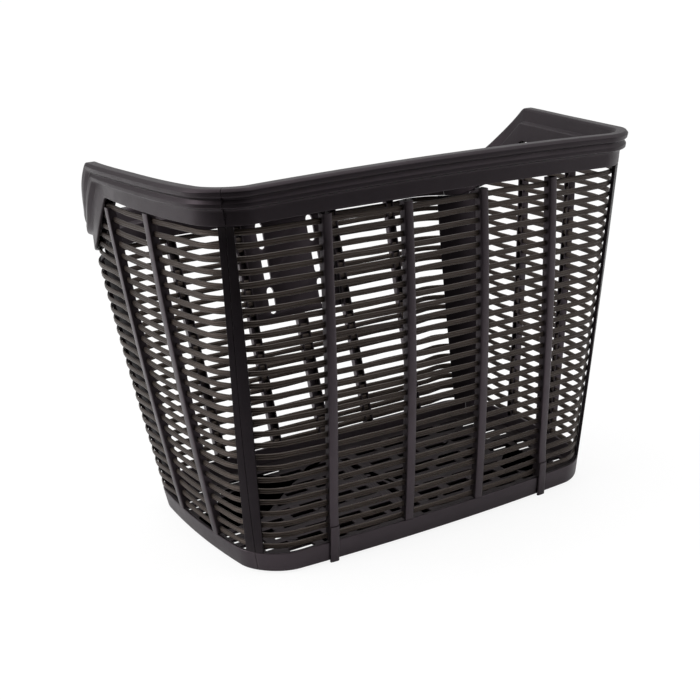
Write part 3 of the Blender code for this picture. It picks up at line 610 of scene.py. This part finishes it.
def build_rib(left, right, wall, width, at_foot, at_top, z_high, footed):
    def length(z):
        rise = (z - BAND_TOP) / (WALL_TOP - RIM_HEIGHT - BAND_TOP)
        return length_at(z, at_foot + (at_top - at_foot) * rise, wall)

    rings = []
    for z in steps(RIB_LOW, z_high, RIB_STEPS):
        proud = FOOT_PROUD * (1.0 - smooth((z - RIB_LOW) / FOOT_BLEND)) if footed else 0.0
        s = length(z)
        rings.append([surface(z, s + v, u) for v, u in channel(width, proud)])
    loft_pair(left, right, rings, RIB_MAT)
    if not footed:
        return
    strap = []
    for z in STRAP_LEVELS:
        wall_z = max(z, 0.0)
        s = length(wall_z)
        chamfer = STRAP_CHAMFER if z == STRAP_LEVELS[-1] else 0.0
        ring = [surface(wall_z, s + v, u) for v, u in strap_section(width, chamfer)]
        for p in ring:
            p[2] = z
        strap.append(ring)
    loft(left + "_foot", strap, RIB_MAT)
    loft(right + "_foot", [mirrored(r) for r in strap], RIB_MAT)


def build_middle_rear_rib():
    """Straight rib on the rear's middle, ending below the mounting plate."""
    rings = [[np.array([v, plan(z).y_rear + u, z]) for v, u in channel(MIDDLE_RIB_WIDTH)]
             for z in steps(RIB_LOW, PLATE_LOW - GAP, RIB_STEPS)]
    loft("rib_rear_3_visual", rings, RIB_MAT, "rib_rear_3")


for rib in RIBS:
    build_rib(*rib)
build_middle_rear_rib()

# ------------------------------------------------------------------- the posts
# Front post edges as shares of the corner: constant, linear and square terms in height
POST_EDGE_FRONT = (0.540, -0.343, 0.136)
POST_EDGE_SIDE = (0.816, -0.501, 0.235)
FRONT_POST_REACH = 251.0                # height over which the seam and edges move
FRONT_POST_DEPTH, POST_SEAM_GAP = 2.4, 0.12
# Rear post edges, (at the foot, at the top): y on the side wall, |x| on the rear wall
REAR_POST_SIDE, REAR_POST_REAR = (68.0, 108.0), (140.5, 163.0)
REAR_POST_FOOT, REAR_POST_REACH = 15.0, 239.0
POST_OUTER, POST_INNER = 2.3, 4.7       # depths of the faces behind the wall
POST_LEAN = 4.8                         # the top steps in behind the rim's flange,
STEP_LOW, STEP_HIGH = 196.2, 200.3      # between these heights


def post_section(width, outer, inner, radius_1, radius_2, n):
    """Strip section between two depths, with n steps across each face."""
    across = [width * k / n for k in range(1, n)]
    corners = [(0.0, -outer, radius_1)] + [(v, -outer, 0.0) for v in across]
    corners += [(width, -outer, radius_2), (width, -inner, 0.4)]
    corners += [(v, -inner, 0.0) for v in reversed(across)] + [(0.0, -inner, 0.4)]
    return rounded(corners)


def front_post_ring(z, start, end, radius_1, radius_2):
    section = post_section(end - start, 0.0, FRONT_POST_DEPTH, radius_1, radius_2, 8)
    return [surface(z, start + v, u) for v, u in section]


def build_front_posts():
    """Each corner post is split at the seam into a front and a side half."""
    front_half, side_half = [], []
    for z in steps(RIB_LOW, RIB_TOP, 30):
        t = z / FRONT_POST_REACH
        seam = front_corner_length(z, BAND_SEAM + (RIM_SEAM - BAND_SEAM) * t)
        start, end = (front_corner_length(z, a + b * t + c * t * t)
                      for a, b, c in (POST_EDGE_FRONT, POST_EDGE_SIDE))
        front_half.append(front_post_ring(z, start, seam - POST_SEAM_GAP, 0.9, 0.2))
        side_half.append(front_post_ring(z, seam + POST_SEAM_GAP, end, 0.2, 0.9))
    for side in ("left", "right"):
        for part, rings in (("front_half", front_half), ("side_half", side_half)):
            name = "post_front_%s_%s" % (side, part)
            if side == "right":
                rings = [mirrored(r) for r in rings]
            loft(name + "_visual", rings, SHADED_POST_MAT, name)


def flange_level(s):
    """Height just under the rim's flange at wall length s."""
    z = STEP_HIGH
    for _ in range(8):
        y = surface(z, s, -POST_OUTER - POST_LEAN)[1]
        z = rim_level(y, -FLANGE_LOW) - 0.5
    return z


def build_rear_posts():
    rings = []
    heights = steps(RIB_LOW, STEP_LOW, 24)
    for k in range(27):                 # the last two rings stand above the step
        z = heights[min(k, 24)]
        rise = (z - REAR_POST_FOOT) / REAR_POST_REACH
        start, end = (length_at(z, foot + (top - foot) * rise, wall)
                      for (foot, top), wall in ((REAR_POST_SIDE, "side"),
                                                (REAR_POST_REAR, "rear")))
        lean = POST_LEAN if k > 24 else 0.0
        ring = []
        for v, u in post_section(end - start, POST_OUTER + lean, POST_INNER + lean,
                                 0.8, 0.8, 16):
            level = flange_level(start + v) if k > 24 else z
            if k == 25:
                level = min(STEP_HIGH, level - 0.4)
            ring.append(surface(level, start + v, u))
        rings.append(ring)
    loft_pair("post_rear_left", "post_rear_right", rings, SHADED_POST_MAT)


build_front_posts()
build_rear_posts()

# ----------------------------------------------------------------- the strands
STRANDS, STRAND_TOP, STRAND_PITCH, STRAND_HEIGHT = 27, 246.5, 8.765, 4.2
STRAND_HALF = STRAND_HEIGHT / 2
STRAND_OFFSET = -4.2                    # strand's line from the outer face
CORNER_OUT, CORNER_THIN = 3.05, 0.35    # outward shift and thinning at the rear corners
SIDE_SHIFT_FROM, REAR_SHIFT_END = 5 / 6, 0.12    # where that shift begins and ends
PLATE_HALF = 43.4                       # strands behind the mounting plate stop here
LEAN_SIDE, LEAN_FRONT = 0.088, 0.04     # outward lean of the section per unit of height
rng = np.random.default_rng(11)


def strand_face(k, ripple, depth):
    """Depth and height of point k of 12 down a face with soft ridges."""
    a = k / 12
    edge = min(1.0, math.sin(math.pi * a) ** 0.35) if 0 < k < 12 else 0.0
    ridge = ripple * math.cos(3 * 2 * math.pi * a) + depth
    return ridge * edge, STRAND_HALF - STRAND_HEIGHT * a


# (outward, up): down the outer face, then up the inner one
STRAND_SECTION = [(0.25 + u, v) for u, v in (strand_face(k, 0.22, 1.15) for k in range(13))]
STRAND_SECTION += [(0.1 - u, v) for u, v in (strand_face(k, 0.16, 1.1)
                                             for k in range(11, 0, -1))]

STRAND_STATIONS = (
    run_of("front", steps(0, 1, 26)[:-1]) + run_of("front corner", steps(0, 1, 10)[:-1])
    + run_of("side", steps(0, 1, 44)[:-1]) + run_of("rear corner", steps(0, 1, 12)[:-1])
    + run_of("rear", steps(0, REAR_SHIFT_END, 4)[:-1])
    + run_of("rear", steps(REAR_SHIFT_END, 1, 24)))
FIRST_CUT_STATION = 41                  # y_end trims only stations from here on


def corner_share(part, f):
    """How fully the rear corner's shift applies."""
    if part == "rear corner":
        return 1.0
    if part == "side":
        return max(0.0, (f - SIDE_SHIFT_FROM) * 6)
    if part == "rear":
        return max(0.0, 1 - f / REAR_SHIFT_END)
    return 0.0


def strand_path(z, y_end, x_end):
    """Rows of x, y, corner share for the left half, from the front's middle on."""
    shift = 0.0 if y_end is not None else CORNER_OUT
    near, far = plan(z, STRAND_OFFSET), plan(z, STRAND_OFFSET + shift)
    points = []
    for part, f in STRAND_STATIONS:
        share = corner_share(part, f)
        p = near.at(part, f)
        p = p + (far.at(part, f) - p) * share
        points.append([p[0], p[1], share if shift else 0.0])
    points = np.array(points)
    parts = [part for part, _ in STRAND_STATIONS]
    if y_end is not None:
        points = points[[i for i, part in enumerate(parts) if i < FIRST_CUT_STATION
                         or (points[i, 1] <= y_end and part != "rear")]]
        a, b = points[-2:]
        if b[1] < y_end:
            end = b + (b - a) * (y_end - b[1]) / max(1e-6, b[1] - a[1])
            points = np.vstack([points, end])
    elif x_end is not None:
        points = points[[i for i, part in enumerate(parts)
                         if part != "rear" or points[i, 0] <= -x_end]]
        points = np.vstack([points, [-x_end, points[-1][1], 0.0]])
    return points


def strand_ends(z):
    """y_end for strands that stop under the sloping rim, x_end for those at the plate."""
    top = z + STRAND_HALF
    if top > REAR_TOP - RIM_HEIGHT + 2.0:
        y_end = DROP_START
        while rim_level(y_end, -RIM_HEIGHT + 1.4) > top and y_end < 117:
            y_end += 0.25
        return y_end, None
    if top > PLATE_LOW - GAP:
        return None, PLATE_HALF
    return None, None


def outward_normals(p, closed):
    ahead = np.roll(p, -1, axis=0)
    behind = np.roll(p, 1, axis=0)
    if not closed:
        ahead[-1] = p[-1]
        behind[0] = p[0]
    way = ahead - behind
    way /= np.maximum(1e-9, np.linalg.norm(way, axis=1))[:, None]
    return np.column_stack([-way[:, 1], way[:, 0]])


def build_strand(k):
    z = STRAND_TOP - STRAND_PITCH * k
    name = "strand_%02d" % (k + 1)
    y_end, x_end = strand_ends(z)
    closed = y_end is None and x_end is None
    left = strand_path(z, y_end, x_end)
    right = left[::-1].copy()
    right[:, 0] *= -1
    path = np.vstack([left, right[1:-1]] if closed else [right[:-1], left])
    p = path[:, :2]
    normal = outward_normals(p, closed)
    run = np.concatenate([[0], np.cumsum(np.linalg.norm(np.diff(p, axis=0), axis=1))])
    total = run[-1] + (np.linalg.norm(p[0] - p[-1]) if closed else 0)

    # slight unevenness in height and thickness; each strand has its own phases and tint
    phase = rng.uniform(0, 6.28, 6)
    tint = rng.uniform(0, 1)

    def ripple(size, waves, phases):
        return sum(size * np.sin(2 * np.pi * m * run / total + start)
                   for m, start in zip(waves, phases))

    wave = ripple(0.10, (5, 9, 14), phase[:3])
    swell = 1.0 + ripple(0.025, (7, 17, 29), phase[3:])
    lean_rear = (plan(z + 2, STRAND_OFFSET).y_rear - plan(z - 2, STRAND_OFFSET).y_rear) / 4.0
    rings = []
    for i, (x, y, share) in enumerate(path):
        nx, ny = normal[i]
        lean = lean_rear * max(0.0, ny) + LEAN_SIDE * abs(nx) + LEAN_FRONT * max(0.0, -ny)
        ring = []
        for u, up in STRAND_SECTION:
            out = u * swell[i] * (1 - CORNER_THIN * share) + lean * up
            ring.append((x + nx * out, y + ny * out, z + wave[i] + up * swell[i]))
        rings.append(ring)
    mesh = skin(name + "_visual", rings, {
        "along": lambda i, j: run[i] * MM,
        "across": lambda i, j: j / len(STRAND_SECTION),
        "tint": lambda i, j: tint}, closed)
    register(add_object(name + "_visual", mesh, STRAND_MAT), name, 60)


for k in range(STRANDS):
    build_strand(k)


# --------------------------------------------------- floor and mounting plate
def bevelled(node, material, width):
    """Copy of a frame piece with merged flat faces and bevelled edges; width in metres."""
    name = node + "_visual"
    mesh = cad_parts[node].data.copy()
    mesh.name = name
    mesh.materials.clear()
    bm = bmesh.new()
    bm.from_mesh(mesh)
    bmesh.ops.remove_doubles(bm, verts=bm.verts[:], dist=1e-6)
    bmesh.ops.dissolve_limit(bm, angle_limit=math.radians(1.0), verts=bm.verts[:],
                             edges=bm.edges[:])
    bm.to_mesh(mesh)
    bm.free()
    obj = add_object(name, mesh, material)
    bevel = obj.modifiers.new("bevel", "BEVEL")
    bevel.width = width
    bevel.segments = 2
    bevel.limit_method = "ANGLE"
    bevel.angle_limit = math.radians(30)
    depsgraph = bpy.context.evaluated_depsgraph_get()
    bpy.context.view_layer.update()
    final = bpy.data.meshes.new_from_object(obj.evaluated_get(depsgraph))
    obj.modifiers.clear()
    obj.data = final
    register(obj, node, 50)


bevelled("floor_grid", FLOOR_MAT, width=0.0005)
bevelled("mounting_plate", RIB_MAT, width=0.0005)

# --------------------------------------------- stage, light, camera (in metres)
TOWARDS_DARK = (-0.54, -0.84, 0.0)      # the studio is dark in front and to the left
WHITE_LEVEL = 1.02                      # brightness of the backdrop as the camera sees it
WHITE = (1, 1, 1, 1)


def ground_material():
    """Paper, white near the basket, with painted shade darkening it in front that the camera
    does not see.
    """
    material, shader = new_material("ground_paper")
    blotches = shader.node("TexNoise", "Fac", {"Scale": 3.0})
    paper = shader.ramp(blotches, (0.0, (0.90, 0.90, 0.90)), (1.0, (0.93, 0.93, 0.93)))
    coords = shader.node("TexCoord", "Object")
    # painted shade: towards the dim front and left the paper turns dark for every ray but the
    # camera's
    forward = shader.node("VectorMath", "Value", {0: coords, 1: TOWARDS_DARK},
                          operation="DOT_PRODUCT")
    front_shade_ramp = shader.remap(forward, source=(0.22, 0.62), interpolation_type="SMOOTHSTEP")
    camera_ray = shader.node("LightPath", "Is Camera Ray")
    unseen = shader.math("SUBTRACT", 1.0, camera_ray)
    painted_front_shade = shader.math("MULTIPLY", front_shade_ramp, unseen)
    colour = shader.mix(painted_front_shade, paper, (0.03, 0.03, 0.03))
    shader.set("Principled BSDF", {"Base Color": colour, "Roughness": 0.9,
                                   "Specular IOR Level": 0.1})
    # to the camera the paper mostly glows, fully so away from the basket
    glow = shader.node("Emission", "Emission", {"Color": WHITE, "Strength": WHITE_LEVEL})
    away = shader.node("VectorMath", "Value", {0: coords}, operation="LENGTH")
    whiteness = shader.remap(away, source=(0.35, 1.0), target=(0.86, 1.0),
                             interpolation_type="SMOOTHSTEP")
    amount = shader.math("MULTIPLY", camera_ray, whiteness)
    lit = shader.tree.nodes["Principled BSDF"].outputs["BSDF"]
    mixed = shader.node("MixShader", "Shader", {"Fac": amount, 1: lit, 2: glow})
    shader.set("Material Output", {"Surface": mixed})
    return material


def build_ground():
    bpy.ops.mesh.primitive_plane_add(size=12.0, location=(0, 0, -0.0002))
    ground = bpy.context.object
    ground.name = "ground"
    ground.data.materials.append(ground_material())


def build_world():
    """Dim studio that darkens towards the front; plain white to the camera."""
    world = bpy.data.worlds.new("studio")
    bpy.context.scene.world = world
    world.use_nodes = True
    shader = Shader(world.node_tree)
    coords = shader.node("TexCoord", "Generated")
    forward = shader.node("VectorMath", "Value", {0: coords, 1: TOWARDS_DARK},
                          operation="DOT_PRODUCT")
    strength = shader.remap(forward, source=(0.1, 0.85), target=(0.62, 0.02),
                            interpolation_type="SMOOTHSTEP")
    shader.set("Background", {"Color": WHITE, "Strength": strength})
    studio = shader.tree.nodes["Background"].outputs["Background"]
    white = shader.node("Background", "Background", {"Color": WHITE, "Strength": WHITE_LEVEL})
    camera_ray = shader.node("LightPath", "Is Camera Ray")
    mixed = shader.node("MixShader", "Shader", {"Fac": camera_ray, 1: studio, 2: white})
    shader.set("World Output", {"Surface": mixed})


def area_light(name, location, target, size, power):
    data = bpy.data.lights.new(name, "AREA")
    data.shape = "RECTANGLE"
    data.size, data.size_y = size
    data.energy = power
    obj = bpy.data.objects.new(name, data)
    bpy.context.scene.collection.objects.link(obj)
    obj.location = location
    aim = Vector(target) - Vector(location)
    obj.rotation_euler = aim.to_track_quat("-Z", "Y").to_euler()


def build_camera():
    """Camera in front and to the left, looking down at the basket."""
    yaw, pitch, roll = math.radians(29.315), math.radians(17.36), math.radians(-2.525)
    position = (-466.95, -727.12, 404.42)       # in millimetres, basket axes
    view = Vector((math.sin(yaw) * math.cos(pitch), math.cos(yaw) * math.cos(pitch),
                   -math.sin(pitch)))
    level_right = view.cross(Vector((0, 0, 1))).normalized()
    level_up = level_right.cross(view)
    right = math.cos(roll) * level_right + math.sin(roll) * level_up
    up = -math.sin(roll) * level_right + math.cos(roll) * level_up
    data = bpy.data.cameras.new("camera")
    data.sensor_width = 36.0
    data.lens = 59.8608
    data.shift_x = 0.0601
    data.shift_y = -0.03177142857
    data.clip_end = 50.0
    camera = bpy.data.objects.new("camera", data)
    bpy.context.scene.collection.objects.link(camera)
    turn = Matrix([(right[i], up[i], -view[i]) for i in range(3)])
    camera.matrix_world = Matrix.Translation(Vector(place(position))) @ turn.to_4x4()
    bpy.context.scene.camera = camera


build_ground()
build_world()
bpy.context.scene.view_settings.view_transform = "Standard"
area_light("soft_left", location=(-1.7, 0.35, 1.0), target=(0, 0, 0.12), size=(1.2, 1.4),
           power=23)
area_light("soft_right", location=(1.5, -0.9, 1.1), target=(0, 0, 0.12), size=(1.2, 1.4),
           power=4.0)
area_light("soft_top", location=(0.1, 0.3, 1.9), target=(0, 0, 0.1), size=(2.4, 2.0),
           power=34)
build_camera()
